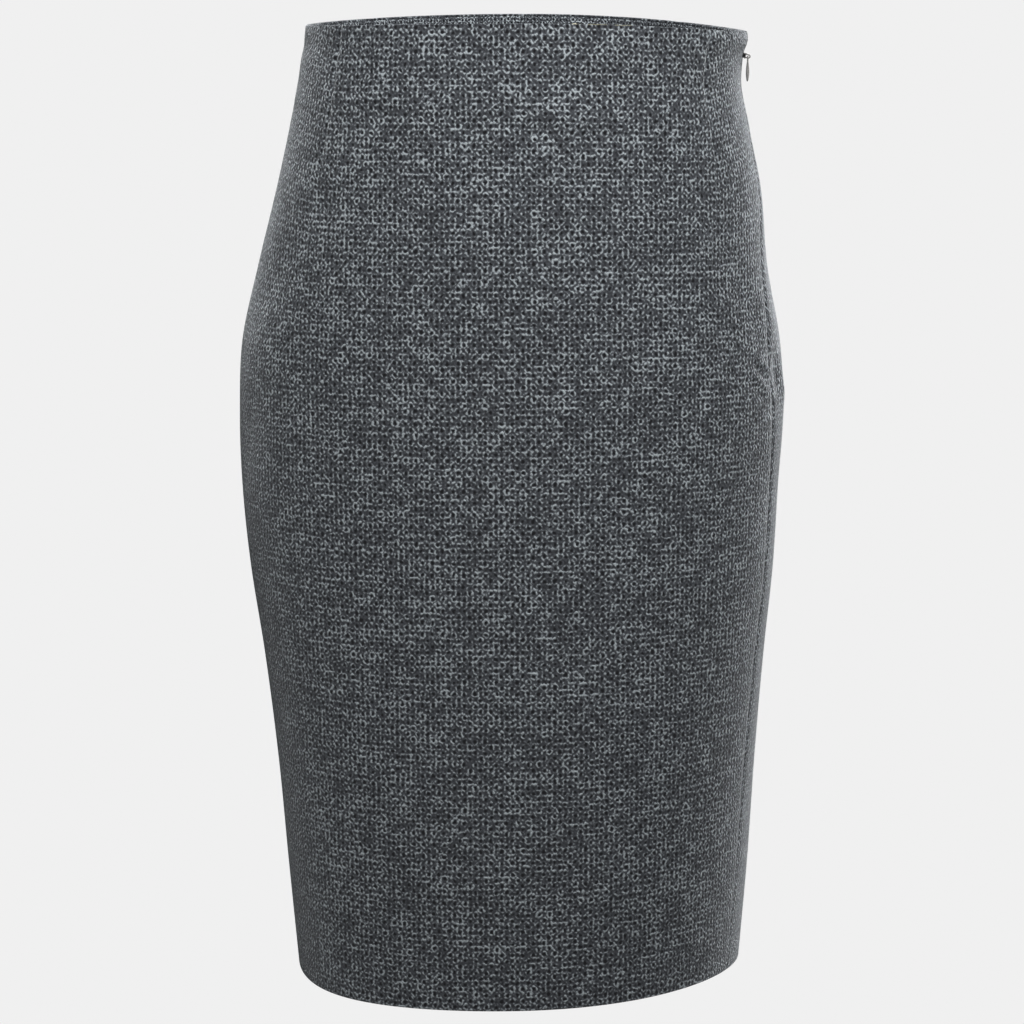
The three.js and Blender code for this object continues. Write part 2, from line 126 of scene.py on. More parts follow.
def roundTheSkirt(quarters, bearing):
    # sin squared of the bearing carries the side's value and cos squared the front's or back's
    across, ahead = np.sin(np.radians(bearing)), np.cos(np.radians(bearing))
    side = np.where(across > 0, quarters["left"], quarters["right"])
    face = np.where(ahead > 0, quarters["front"], quarters["back"])
    return side * across**2 + face * ahead**2


def dropOf(bearing, row):
    # Rows run evenly from the top edge's height to the hem's, which leans across the front
    share = row / skirt["length"]
    lean = np.where(np.cos(np.radians(bearing)) > 0, hemLean * np.sin(np.radians(2 * bearing)), 0)
    return -roundTheSkirt(topRise, bearing) * (1 - share) + (roundTheSkirt(hemDrop, bearing) - lean) * share


def smoothSkin(bearing, row):
    # A quarter ellipse in each quarter, pressed out at its corners by a share of the triple angle
    bearing, row = np.broadcast_arrays(np.asarray(bearing, float), np.asarray(row, float))
    drop, angle = dropOf(bearing, row), np.radians(bearing)
    s, c = np.sin(angle), np.cos(angle)
    frontBox = columnAt("boxRight", drop) * (1 - s) / 2 + columnAt("boxLeft", drop) * (1 + s) / 2
    ahead = smoothStep((c + skirt["boxBlend"]) / (2 * skirt["boxBlend"]))
    box = frontBox * ahead + columnAt("boxBack", drop) * (1 - ahead)
    wide = np.where(s > 0, columnAt("left", drop), columnAt("right", drop))
    deep = np.where(c > 0, columnAt("front", drop), columnAt("back", drop))
    x = wide * (s + box * np.sin(3 * angle)) / (1 - box)
    y = -deep * (c - box * np.cos(3 * angle)) / (1 - box)
    return np.stack((x, y, -drop), axis=-1)


def overOneDegree(bearing, row):
    # The way along the smooth skin from half a degree before a bearing to half a degree past it
    return smoothSkin(bearing + 0.5, row) - smoothSkin(bearing - 0.5, row)


def perDegree(bearing, row):
    # Metres round the skin for each degree there
    return np.linalg.norm(overOneDegree(bearing, row), axis=-1)


def outward(bearing, row, reach=0.001):
    # The smooth skin's normal: the way down crossed with the way round
    down = smoothSkin(bearing, row + reach) - smoothSkin(bearing, row - reach)
    normal = np.cross(down, overOneDegree(bearing, row))
    return normal / np.linalg.norm(normal, axis=-1, keepdims=True)


def foldDepth(bearing, row):
    # Each fold is a bell across its width and along its length, turned by its slant
    depth = np.zeros(np.broadcast(bearing, row).shape)
    for at, middle, length, width, slant, deep in folds:
        turn = (bearing - at + 180) % 360 - 180
        aside = turn * perDegree(np.array(float(at)), np.array(middle))
        below = row - middle
        lean = np.radians(slant)
        along = (below * np.cos(lean) - aside * np.sin(lean)) / (length / 2)
        off = (aside * np.cos(lean) + below * np.sin(lean)) / width
        near = np.abs(turn) <= foldBell["reach"]
        depth += np.where(near, deep * np.exp(-foldBell["endwise"] * along**2 - off**2), 0)
    return depth


def skin(bearing, row, out):
    # The smooth skin moved out along its normal, less the folds, which fade towards the top edge and the hem
    calm = np.clip(np.minimum(row, skirt["length"] - row) / skirt["foldFade"], 0, 1)
    move = out - calm * foldDepth(bearing, row)
    return smoothSkin(bearing, row) + outward(bearing, row) * np.asarray(move)[..., None]


def thickness(row):
    # The cloth is double over the turned-up hem, with a soft step at its top
    step = smoothStep((row - (skirt["length"] - skirt["hemTurn"])) / skirt["hemStep"] + 0.5)
    return skirt["wall"] + (skirt["hemWall"] - skirt["wall"]) * step


def seamBearing(side, row, towards=0, apart=None):
    # The side seam's bearing, moved off it by half of the gap; the zip's seam parts round the slider
    left = side == "left"
    bearing = columnAt("seamLeft", dropOf(90.0, row)) if left else -columnAt("seamRight", dropOf(-90.0, row))
    half = skirt["gap"] / 2 if apart is None else apart
    if left and apart is None:
        away = np.abs(row - zipper["slider"]) - zipper["slitHeight"] / 2
        half = half + (zipper["slitHalf"] - half) * (1 - np.clip(away / zipper["slitFade"], 0, 1))
    return bearing + towards * half / perDegree(bearing, row)


def centreBack(row, towards):
    # The centre seam's bearing, moved off it by half of the gap
    return 180 + towards * skirt["gap"] / 2 / perDegree(180.0, row)


def evenSteps(lengths, step, ease=0.72):
    # Fractions across each block of a piece, closer together at its ends: t less a share of sin 2 pi t
    counts = [max(2, int(round(length / step))) for length in lengths]
    fractions = []
    for block, count in enumerate(counts):
        t = np.arange(count) / count
        fractions.append(block + t - ease * np.sin(2 * np.pi * t) / (2 * np.pi))
    return np.concatenate(fractions + [[len(lengths)]])


def bearingGrid(stops, fractions):
    # stops is a list of bearings per row, and fractions say how far between them each column lies
    stops = np.stack(stops, axis=1)
    block = np.minimum(fractions.astype(int), stops.shape[1] - 2)
    part = fractions - block
    return stops[:, block] * (1 - part) + stops[:, block + 1] * part


def rowList(marks, step=None):
    # Rows down the cloth: each mark, and even rows at most a step apart between them
    step = step or skirt["step"]
    rows = [np.linspace(a, b, max(1, int(np.ceil((b - a) / step))), endpoint=False)
            for a, b in zip(marks[:-1], marks[1:])]
    return np.concatenate(rows + [[marks[-1]]])


def edgeRounding(distance):
    # How far a rounded edge falls away: a quarter circle of the edge's radius
    radius = skirt["edgeRound"]
    return radius - np.sqrt(np.clip(radius**2 - np.clip(radius - distance, 0, radius)**2, 0, None))


def putMesh(name, points, faces, uvs=None, material=None):
    # Smooth faces as whole arrays, with one UV for each corner
    mesh = bpy.data.meshes.new(name)
    faces = np.asarray(faces)
    mesh.vertices.add(len(points))
    mesh.vertices.foreach_set("co", np.asarray(points, np.float32).ravel())
    mesh.loops.add(faces.size)
    mesh.loops.foreach_set("vertex_index", faces.ravel().astype(np.int32))
    mesh.polygons.add(len(faces))
    mesh.polygons.foreach_set("loop_start", np.arange(0, faces.size, faces.shape[1], dtype=np.int32))
    mesh.update(calc_edges=True)
    if uvs is not None:
        layer = mesh.uv_layers.new(name="cloth")
        layer.data.foreach_set("uv", np.asarray(uvs, np.float32).ravel())
    mesh.polygons.foreach_set("use_smooth", np.ones(len(faces), bool))
    piece = bpy.data.objects.new(name, mesh)
    bpy.context.scene.collection.objects.link(piece)
    if material:
        mesh.materials.append(material)
    return piece


def dartShare(row, dart):
    # 1 at the waist and 0 at the dart's point
    return np.clip(1 - row / dart["length"], 0, 1)


grainTurn = {"from": 0.5, "over": 1.6}    # where a dart's turn of the grain fades, in lengths of the dart


def turnedGrain(u, v, rows, rowOf, column, darts):
    # Beyond a dart the cloth was cut wider by the dart's width at that row, and its grain is turned by the
    # dart's angle: v falls by that slope times the way beyond the dart, and this fades below its point
    for at, side, dart in darts:
        beyond = column >= at if side > 0 else column < at
        width = dart["takesUp"] * dartShare(rows, dart)
        turn = (rows - grainTurn["from"] * dart["length"]) / (grainTurn["over"] * dart["length"])
        slope = dart["takesUp"] / dart["length"] * (1 - smoothStep(turn))
        way = np.abs(u - dart["line"][rowOf])
        u = np.where(beyond, u + side * width[rowOf], u)
        v = np.where(beyond, v - slope[rowOf] * way, v)
    return u, v


def clothWall(name, bearing, row, outer, inner, material, present=None, darts=()):
    # A closed wall over a grid: points of the skin moved out by outer and by inner, and rims between them.
    # The UV map is in metres: u is the way round from the centre front or back, v the way down.
    rowCount, columnCount = bearing.shape
    present = np.ones((rowCount - 1, columnCount - 1), bool) if present is None else present
    number = np.arange(rowCount * columnCount).reshape(rowCount, columnCount)
    a, b, c, d = number[:-1, :-1], number[1:, :-1], number[1:, 1:], number[:-1, 1:]
    under = rowCount * columnCount
    faces = [np.stack((a, b, c, d), -1)[present], np.stack((a, d, c, b), -1)[present] + under]
    across = [np.zeros((2 * len(faces[0]), 2))]
    beside = np.pad(present, 1)
    for aside, down, first, second in ((-1, 0, a, b), (0, 1, b, c), (1, 0, c, d), (0, -1, d, a)):
        taken = beside[1 + down:rowCount + down, 1 + aside:columnCount + aside]
        faces.append(np.stack((first, first + under, second + under, second), -1)[present & ~taken])
        across.append(np.tile((float(aside), -float(down)), (len(faces[-1]), 1)))
    faces, across = np.concatenate(faces), np.concatenate(across)

    way = np.linalg.norm(np.diff(smoothSkin(bearing, row), axis=1), axis=-1)
    u = np.concatenate((np.zeros((rowCount, 1)), np.cumsum(way, axis=1)), axis=1)
    centre = 0 if bearing.min() < 0 < bearing.max() else 180
    u -= np.array([[np.interp(centre, bearing[j], u[j])] for j in range(rowCount)])
    rowOf, columnOf = faces % under // columnCount, faces % under % columnCount
    lined = [(at, side, dict(dart, line=u[:, at])) for at, side, dart in darts]
    flat = np.stack(turnedGrain(u[rowOf, columnOf], -row[rowOf, columnOf], row[:, 0], rowOf,
                                columnOf.min(axis=1, keepdims=True), lined), -1)
    # Across a rim the map goes on past the edge by the wall's thickness
    wall = np.broadcast_to(outer - inner, bearing.shape)[rowOf, columnOf] * (faces >= under)
    flat += across[:, None] * wall[..., None]

    used, faces = np.unique(faces, return_inverse=True)
    points = np.concatenate([skin(bearing, row, out).reshape(-1, 3) for out in (outer, inner)])
    return putMesh(name, points[used], faces.reshape(-1, 4), flat.reshape(-1, 2), material)


def finishPiece(piece, body, slot, *nodes):
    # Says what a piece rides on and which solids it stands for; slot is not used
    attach(piece, body)
    if nodes:
        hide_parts(*nodes)
    print("made", piece.name, "with", len(piece.data.polygons), "faces")
    return piece


# The weave: light grey-teal yarn loops round dark gaps that stand in offset rows. A noise is given by its
# scale, detail and roughness, and a ramp by its stops: a place and how bright it is there.
weave = {
    "across": 0.00654, "down": 0.00737, "astray": 0.12,
    "wander": 0.17, "wanderNoise": (170.0, 1.5, 0.55), "curl": 0.19, "curlNoise": (480.0, 0.0),
    "gapLeast": 0.92, "gapSpread": 0.22, "loopEach": ((0.0, 0.70), (0.6, 0.88), (1.0, 1.10)),
    "loop": ((0.0, 0.0), (0.13, 0.02), (0.26, 0.62), (0.37, 1.05), (0.48, 0.80), (0.60, 0.44), (0.76, 0.26)),
    "fleckNoise": (560.0, 0.4), "fleck": ((0.32, 0.36), (0.50, 0.66), (0.68, 1.22)),
    "slubScale": (45.0, 290.0, 1), "slubNoise": (1.0, 1.0), "slub": ((0.32, 0.86), (0.68, 1.14)),
    "fibreNoise": (1600.0, 2.0, 0.7), "fibre": 0.20,
    "dark": (0.0030, 0.0030, 0.0042, 1), "light": (0.378, 0.417, 0.442, 1),
    "middle": (0.048, 0.0522, 0.0597, 1), "middleAt": 0.36,
    "cloudNoise": (55.0, 2.0, 0.6), "cloudLeast": 0.75, "cloudSpread": 0.5,
    "bump": 0.0010, "bumpStrength": 0.6, "roughness": 0.88, "specular": 0.2,
    "sheen": 0.7, "sheenRoughness": 0.35, "sheenTint": (0.85, 0.89, 0.93, 1),
}


def fillSockets(tree, node, inputs):
    # An input is found by its name, or by its number in _0; another node's output is linked to it
    for name, value in inputs.items():
        socket = node.inputs[int(name[1:]) if name[0] == "_" else name.replace("_", " ")]
        if isinstance(value, bpy.types.NodeSocket):
            tree.links.new(value, socket)
        else:
            socket.default_value = value


def nodeIn(tree, kind, settings=None, **inputs):
    made = tree.nodes.new(kind)
    for key, value in (settings or {}).items():
        setattr(made, key, value)
    fillSockets(tree, made, inputs)
    return made


def mathNode(tree, operation, first, second=0.0, third=0.0):
    return nodeIn(tree, "ShaderNodeMath", {"operation": operation}, _0=first, _1=second, _2=third).outputs[0]


def vectorNode(tree, operation, **inputs):
    made = nodeIn(tree, "ShaderNodeVectorMath", {"operation": operation}, **inputs)
    return made.outputs["Value" if operation == "DOT_PRODUCT" else "Vector"]


def noiseNode(tree, place, scale, detail, roughness=0.5):
    return nodeIn(tree, "ShaderNodeTexNoise", Vector=place, Scale=scale, Detail=detail,
                  Roughness=roughness).outputs


def waveNode(tree, place, scale, distortion):
    return nodeIn(tree, "ShaderNodeTexWave", {"bands_direction": "DIAGONAL"}, Vector=place, Scale=scale,
                  Distortion=distortion).outputs["Fac"]


def bumpNode(tree, height, strength, distance):
    return nodeIn(tree, "ShaderNodeBump", Height=height, Strength=strength, Distance=distance).outputs[0]


def newMaterial(name):
    material = bpy.data.materials.new(name)
    material.use_nodes = True
    tree = material.node_tree
    return material, tree, tree.nodes["Principled BSDF"]


def rampOf(tree, factor, stops):
    # A smooth ramp through its stops, each with a colour or one number for a grey
    ramp = nodeIn(tree, "ShaderNodeValToRGB", Fac=factor)
    line = ramp.color_ramp
    line.interpolation = "EASE"
    while len(line.elements) < len(stops):
        line.elements.new(0.5)
    for element, (place, colour) in zip(line.elements, stops):
        element.position = place
        element.color = colour if isinstance(colour, tuple) else (colour, colour, colour, 1)
    return ramp.outputs["Color"]


def tweedMaterial(name, paintedLightGain=1.0, finer=1.0):
    material, tree, shader = newMaterial(name)
    flat = nodeIn(tree, "ShaderNodeUVMap", {"uv_map": "cloth"}).outputs["UV"]
    cloth = vectorNode(tree, "SCALE", _0=flat, Scale=finer)
    # The gaps' grid: one unit for each repeat of the weave, moved about by two noises
    scaled = vectorNode(tree, "MULTIPLY", _0=cloth, _1=(1 / weave["across"], 1 / weave["down"], 1))
    wander = noiseNode(tree, cloth, *weave["wanderNoise"])["Color"]
    wandered = vectorNode(tree, "MULTIPLY_ADD", _0=wander, _1=(weave["wander"],) * 3, _2=scaled)
    curl = noiseNode(tree, cloth, *weave["curlNoise"])["Color"]
    curled = vectorNode(tree, "MULTIPLY_ADD", _0=curl, _1=(weave["curl"],) * 3, _2=wandered)
    # Turned by half a right angle, the offset rows of gaps become a plain grid, one gap in each square
    turned = [vectorNode(tree, "DOT_PRODUCT", _0=curled, _1=way) for way in ((1, 1, 0), (1, -1, 0))]
    grid = nodeIn(tree, "ShaderNodeCombineXYZ", X=turned[0], Y=turned[1]).outputs[0]
    gaps = nodeIn(tree, "ShaderNodeTexVoronoi", {"voronoi_dimensions": "2D"}, Vector=grid, Scale=1.0,
                  Randomness=weave["astray"]).outputs
    each = nodeIn(tree, "ShaderNodeSeparateColor", Color=gaps["Color"]).outputs
    # The yarn's brightness: dark in a gap, light on the loop round it, times the loop's own, flecks and slubs
    gapSize = mathNode(tree, "MULTIPLY_ADD", each[1], weave["gapSpread"], weave["gapLeast"])
    loop = rampOf(tree, mathNode(tree, "MULTIPLY", gaps["Distance"], gapSize), weave["loop"])
    loopEach = rampOf(tree, each[0], weave["loopEach"])
    fleck = rampOf(tree, noiseNode(tree, cloth, *weave["fleckNoise"])["Fac"], weave["fleck"])
    along = vectorNode(tree, "MULTIPLY", _0=cloth, _1=weave["slubScale"])
    slub = rampOf(tree, noiseNode(tree, along, *weave["slubNoise"])["Fac"], weave["slub"])
    loops, marks = mathNode(tree, "MULTIPLY", loop, loopEach), mathNode(tree, "MULTIPLY", fleck, slub)
    yarn = mathNode(tree, "MULTIPLY", loops, marks)
    fibre = mathNode(tree, "SUBTRACT", noiseNode(tree, cloth, *weave["fibreNoise"])["Fac"], 0.5)
    raised = mathNode(tree, "MULTIPLY_ADD", fibre, weave["fibre"], yarn)
    colour = rampOf(tree, raised, (
        (0.0, weave["dark"]), (weave["middleAt"], weave["middle"]), (1.0, weave["light"])))
    # The colour is scaled by a random cloud of tone and by the brightness gain, which paints light: above 1
    # it makes a copy of the tweed lighter to stand in for light that doesn't reach it
    cloud = noiseNode(tree, cloth, *weave["cloudNoise"])["Fac"]
    shade = mathNode(tree, "MULTIPLY_ADD", cloud,
                     weave["cloudSpread"] * paintedLightGain, weave["cloudLeast"] * paintedLightGain)
    fillSockets(tree, shader, {
        "Base Color": vectorNode(tree, "SCALE", _0=colour, Scale=shade),
        "Normal": bumpNode(tree, raised, weave["bumpStrength"], weave["bump"]),
        "Roughness": weave["roughness"], "Specular IOR Level": weave["specular"],
        "Sheen Weight": weave["sheen"], "Sheen Roughness": weave["sheenRoughness"],
        "Sheen Tint": weave["sheenTint"]})
    return material


tweed = tweedMaterial("tweed")
# A copy of the tweed for the facings and the seam allowances, with a finer weave, painted lighter to stand in
# for the light that the inside of the skirt doesn't get
facingTweedPaintedLighter = tweedMaterial("facingTweedPaintedLighter", facing["paintedLightGain"], facing["finer"])

# The rows of every panel: finer at the edges, at the slider's slit and where the small ripples are
ripples = {"above": 0.0240, "below": 0.0121, "step": 0.0015}    # from the zip's lower end
edgeRows = [share * skirt["edgeRound"] for share in (0, 0.25, 0.55, 1)]
topWidens, widensIn = 0.00115, 0.00005    # the cloth folds over the facing above this row
slit, fade = zipper["slitHeight"] / 2, zipper["slitFade"]
slitSteps = (-slit - fade, -slit - fade / 2, -slit, 0, slit, slit + fade / 2, slit + fade)
turnTop, halfStep = skirt["length"] - skirt["hemTurn"], skirt["hemStep"] / 2
panelRows = rowList([
    *edgeRows, topWidens - widensIn, topWidens + widensIn, *[zipper["slider"] + r for r in slitSteps],
    facing["depth"], *(zipper["end"] + np.arange(-ripples["above"], ripples["below"], ripples["step"])),
    vent["top"] - vent["rise"], vent["top"], turnTop - halfStep, turnTop + halfStep,
    *[skirt["length"] - r for r in reversed(edgeRows)]])

# The ridge where the facing's lower edge shows: bearings in degrees, and the row's tilt for each degree
ridge = {"row": 0.0545, "tilt": 0.00028, "tiltTo": 32, "lift": 0.0017, "above": 0.018, "below": 0.0032,
         "middle": -4, "spread": 62, "wave": 0.2, "waves": 7, "waveFrom": 40, "atBack": 0.25}
groove = {"depth": 0.0010, "soft": 0.0024, "left": 0.85, "right": 1, "centre": 1.3,
          "hemCalm": 0.150, "hemLeast": 0.15}    # of the seams, shallower over the last rows above the hem
hollow = {"depth": 0.0006, "row": 0.0135, "width": 0.0055, "gain": 1.6, "least": 0.2}    # under the top edge


def facingShows(bearing, row):
    # The facing pushes the cloth out over its lower edge, gently above and sharply below, a little askew
    askew = ridge["row"] + ridge["tilt"] * np.clip(bearing, -ridge["tiltTo"], ridge["tiltTo"])
    turn = np.radians(bearing * ridge["waves"] + ridge["waveFrom"])
    wave = 1 - ridge["wave"] + ridge["wave"] * np.sin(turn)
    inFront = bell(bearing - ridge["middle"], ridge["spread"]) * wave
    strength = np.where(np.abs(bearing) < 90, inFront, ridge["atBack"])
    below = row - askew
    return strength * ridge["lift"] * bell(below, np.where(below < 0, ridge["above"], ridge["below"]))


def panelFaces(bearing, row, seams, darts, dart):
    # How far a panel's outside and inside lie from the skin: seams and darts draw it in, edges are rounded,
    # and a hollow, strongest at the sides, runs under the top edge
    scale = perDegree(bearing, row)
    outer = facingShows((bearing + 180) % 360 - 180, row)
    byHem = np.clip((skirt["length"] - row) / groove["hemCalm"], groove["hemLeast"], 1)
    for seam, strength in seams:
        away = np.abs(bearing - seam) * scale
        outer = outer - byHem * strength * groove["depth"] * bell(away, groove["soft"])
    bySide = np.abs(np.sin(np.radians(bearing))) * hollow["gain"] - (hollow["gain"] - 1)
    outer = outer - (hollow["depth"] * bell(row - hollow["row"], hollow["width"])
                     * np.clip(bySide, hollow["least"], 1))
    for at in darts:
        away = np.abs(bearing - at) * scale
        outer = outer - dart["groove"] * dartShare(row, dart) ** 0.5 * bell(away, dart["soft"])
    rounding = edgeRounding(row) + edgeRounding(skirt["length"] - row)
    top = np.where(row < topWidens, facing["wall"] + skirt["gap"], 0)
    return outer - rounding, -thickness(row) - top + rounding


def sewnShare(row):
    # 1 above the vent, where the centre seam is sewn, and 0 in it
    return np.clip((vent["top"] - row) / vent["sewnFade"], 0, 1)


# About how wide the blocks of each grid are, between the seams, the darts and the vent's edges
blocks = {"front": (0.115, 0.300, 0.055), "backLeft": (0.130, 0.110, 0.012),
          "backRight": (vent["underlap"], vent["dip"], 0.110, 0.130), "facing": (0.370,)}


def makeFront():
    # From the right side seam over both darts to the left one
    rows = panelRows
    rightSeam, leftSeam = seamBearing("right", rows, 1), seamBearing("left", rows, -1)
    at = frontDart["right"], frontDart["left"]
    stops = [rightSeam, np.full(rows.shape, at[0]), np.full(rows.shape, at[1]), leftSeam]
    fractions = evenSteps(blocks["front"], skirt["step"])
    bearing = bearingGrid(stops, fractions)
    row = np.broadcast_to(rows[:, None], bearing.shape)
    seams = (rightSeam[:, None], groove["right"]), (leftSeam[:, None], groove["left"])
    outer, inner = panelFaces(bearing, row, seams, at, frontDart)
    first, second = np.searchsorted(fractions, (1, 2))
    darts = ((first, -1, frontDart), (second, 1, frontDart))
    piece = clothWall("frontPanel", bearing, row, outer, inner, tweed, darts=darts)
    return finishPiece(piece, "root", "tweed", "front_panel")


def makeBackLeft():
    # From the left side seam over its dart to the centre, whose edge is free and rounded in the vent
    rows = panelRows
    seam, centre = seamBearing("left", rows, 1), centreBack(rows, -1)
    at = 180 - backDart["fromCentre"]
    dip = centre - vent["dip"] / perDegree(180.0, rows)
    fractions = evenSteps(blocks["backLeft"], skirt["step"])
    bearing = bearingGrid([seam, np.full(rows.shape, at), dip, centre], fractions)
    row = np.broadcast_to(rows[:, None], bearing.shape)
    sewn = sewnShare(row)
    seams = (seam[:, None], groove["left"]), (centre[:, None], groove["centre"] * sewn)
    outer, inner = panelFaces(bearing, row, seams, (at,), backDart)
    free = edgeRounding(np.abs(bearing - centre[:, None]) * perDegree(bearing, row)) * (1 - sewn)
    darts = ((np.searchsorted(fractions, 1), -1, backDart),)
    piece = clothWall("backLeftPanel", bearing, row, outer - free, inner + free, tweed, darts=darts)
    return finishPiece(piece, "root", "tweed", "back_left_panel")


def makeBackRight():
    # From the underlap's far edge over the centre and its dart to the right side seam. Towards the vent it
    # sinks by its own thickness and a clearance, so that the left half lies over it.
    rows = panelRows
    seam, centre = seamBearing("right", rows, -1) + 360, centreBack(rows, 1)
    at = 180 + backDart["fromCentre"]
    far = centre - vent["underlap"] / perDegree(180.0, rows)
    dip = centre + vent["dip"] / perDegree(180.0, rows)
    fractions = evenSteps(blocks["backRight"], skirt["step"])
    bearing = bearingGrid([far, centre, dip, np.full(rows.shape, at), seam], fractions)
    row = np.broadcast_to(rows[:, None], bearing.shape)
    seams = (seam[:, None], groove["right"]), (centre[:, None], groove["centre"] * sewnShare(row))
    outer, inner = panelFaces(bearing, row, seams, (at,), backDart)
    aside = smoothStep((bearing - centre[:, None]) / (dip - centre)[:, None])
    opened = smoothStep((row - vent["top"] + vent["rise"]) / vent["rise"])
    under = (thickness(row) + vent["clear"]) * (1 - aside) * opened
    lap = fractions[None, :] < 1
    inner = np.where(lap, -skirt["wall"] + edgeRounding(skirt["length"] - row), inner)
    tiny = 1e-9    # keeps the vent's own row whole
    present = np.broadcast_to((fractions[:-1] >= 1)[None, :] | (rows[:-1] >= vent["top"] - tiny)[:, None],
                              (len(rows) - 1, len(fractions) - 1))
    darts = ((np.searchsorted(fractions, 3), 1, backDart),)
    piece = clothWall("backRightPanel", bearing, row, outer - under, inner - under, tweed, present, darts)
    return finishPiece(piece, "root", "tweed", "back_right_panel")


def makeFacing(name, node, stops):
    # A band just inside the cloth, from below the fold at its top to the facing's depth
    upper, lower = [facing["below"] + r for r in edgeRows], [facing["depth"] - r for r in reversed(edgeRows)]
    rows = rowList(upper + lower)
    bearing = bearingGrid(stops(rows), evenSteps(blocks["facing"], skirt["step"]))
    row = np.broadcast_to(rows[:, None], bearing.shape)
    fromEdges = row - facing["below"], facing["depth"] - row
    rounding = facing["softEdge"] * (edgeRounding(fromEdges[0]) + edgeRounding(fromEdges[1]))
    start = -skirt["wall"] - skirt["gap"]
    # The facing wears the copy of the tweed that is painted lighter
    piece = clothWall(name, bearing, row, start - rounding, start - facing["wall"] + rounding, facingTweedPaintedLighter)
    return finishPiece(piece, "root", "tweed_facing", node)


def frontFacingStops(rows):
    return [seamBearing("right", rows, 1), seamBearing("left", rows, -1, facing["shortOfZip"])]


def backFacingStops(rows):
    return [seamBearing("left", rows, 1, facing["shortOfZip"]), seamBearing("right", rows, -1) + 360]


# Seam allowances, pressed open inside the skirt
allowance = {
    "width": 0.011, "wall": 0.0009, "clear": 0.0001, "step": 0.0022, "ease": 0.4, "rowStep": 0.004,
    "endRow": 0.002, "short": 0.003, "valley": 0.0004, "valleyWidth": 0.0012,
    "curl": 0.0006, "curlFrom": 0.007, "curlOver": 0.004, "wave": 0.5, "waves": 130, "sway": 2, "sways": 47,
}


def makeAllowance(name, seam, begin, end):
    # A strip along a seam under the cloth, thinned over the stitches, its edges curling a little inwards by
    # the square of the way out, in uneven waves down the seam
    rows = rowList([begin, begin + allowance["endRow"], end - allowance["endRow"], end], allowance["rowStep"])
    middle = seam(rows)
    half = allowance["width"] / perDegree(middle, rows)
    fractions = evenSteps((allowance["width"], allowance["width"]), allowance["step"], allowance["ease"])
    bearing = bearingGrid([middle - half, middle, middle + half], fractions)
    row = np.broadcast_to(rows[:, None], bearing.shape)
    away = np.abs(bearing - middle[:, None]) * perDegree(bearing, row)
    sway = allowance["sway"] * np.sin(row * allowance["sways"])
    wave = 1 + allowance["wave"] * np.sin(row * allowance["waves"] + sway)
    out = np.clip((away - allowance["curlFrom"]) / allowance["curlOver"], 0, 1)
    start = -thickness(row) - allowance["clear"] - allowance["curl"] * out**2 * wave
    inner = start - allowance["wall"] + allowance["valley"] * bell(away, allowance["valleyWidth"])
    # The allowance wears the copy of the tweed that is painted lighter
    return finishPiece(clothWall(name, bearing, row, start, inner, facingTweedPaintedLighter), "root", "tweed")


def leftSeamLine(rows):
    return seamBearing("left", rows, 0)


def rightSeamLine(rows):
    return seamBearing("right", rows, 0) + 360


def centreBackLine(rows):
    return np.full(rows.shape, 180.0)


frontPanel = makeFront()
backLeftPanel = makeBackLeft()
backRightPanel = makeBackRight()
frontFacing = makeFacing("frontFacing", "front_facing", frontFacingStops)
backFacing = makeFacing("backFacing", "back_facing", backFacingStops)
short = allowance["short"]
aboveHemTurn, aboveVent = turnTop - 2 * short, vent["top"] - vent["rise"] - short
makeAllowance("leftSeamAllowance", leftSeamLine, zipper["end"] + short, aboveHemTurn)
makeAllowance("rightSeamAllowance", rightSeamLine, facing["depth"] + short, aboveHemTurn)
makeAllowance("centreBackAllowance", centreBackLine, facing["depth"] + short, aboveVent)


def tube(name, path, radius, sides, material):
    # Rings of points round a path, on two directions square to the way along it, with no radius at the ends
    along = np.gradient(path, axis=0)
    along /= np.linalg.norm(along, axis=1, keepdims=True)
    aside = np.cross(along, (0.0, 0.0, 1.0))
    aside /= np.linalg.norm(aside, axis=1, keepdims=True)
    over = np.cross(aside, along)
    turn = 2 * np.pi * np.arange(sides) / sides
    radius = np.array(np.broadcast_to(radius, (len(path),)))
    radius[[0, -1]] = 0
    ring = aside[:, None] * np.cos(turn)[:, None] + over[:, None] * np.sin(turn)[:, None]
    number = np.arange(len(path) * sides).reshape(len(path), sides)
    after = np.roll(number, -1, axis=1)
    faces = np.stack((number[:-1], after[:-1], after[1:], number[1:]), -1).reshape(-1, 4)
    points = path[:, None] + radius[:, None, None] * ring
    piece = putMesh(name, points.reshape(-1, 3), faces, None, material)
    mesh = bmesh.new()
    mesh.from_mesh(piece.data)
    bmesh.ops.remove_doubles(mesh, verts=mesh.verts, dist=1e-7)
    bmesh.ops.recalc_face_normals(mesh, faces=mesh.faces)
    mesh.to_mesh(piece.data)
    mesh.free()
    return piece


# A loose thread caught along the front's top edge, with a pale knot at one end: bearings, radius and colours
threads = {
    "looseThread": {"begin": 11.9, "end": 28.3, "radius": 0.00020,
                    "light": (0.30, 0.28, 0.17, 1), "shade": (0.17, 0.16, 0.10, 1)},
    "threadKnot": {"begin": 11.3, "end": 12.5, "radius": 0.00046,
                   "light": (0.75, 0.71, 0.55, 1), "shade": (0.50, 0.46, 0.34, 1)},
}
threadPath = {"points": 8, "perDegree": 5, "sides": 6, "row": 0.00015, "sway": 0.00022, "sways": (31, 80),
              "under": 0.00045, "lift": 0.0003, "lifts": 49, "taperEnd": 0.08, "taper": 0.3,
              "plyScale": 700.0, "plyWaver": 1.0, "roughness": 0.8}


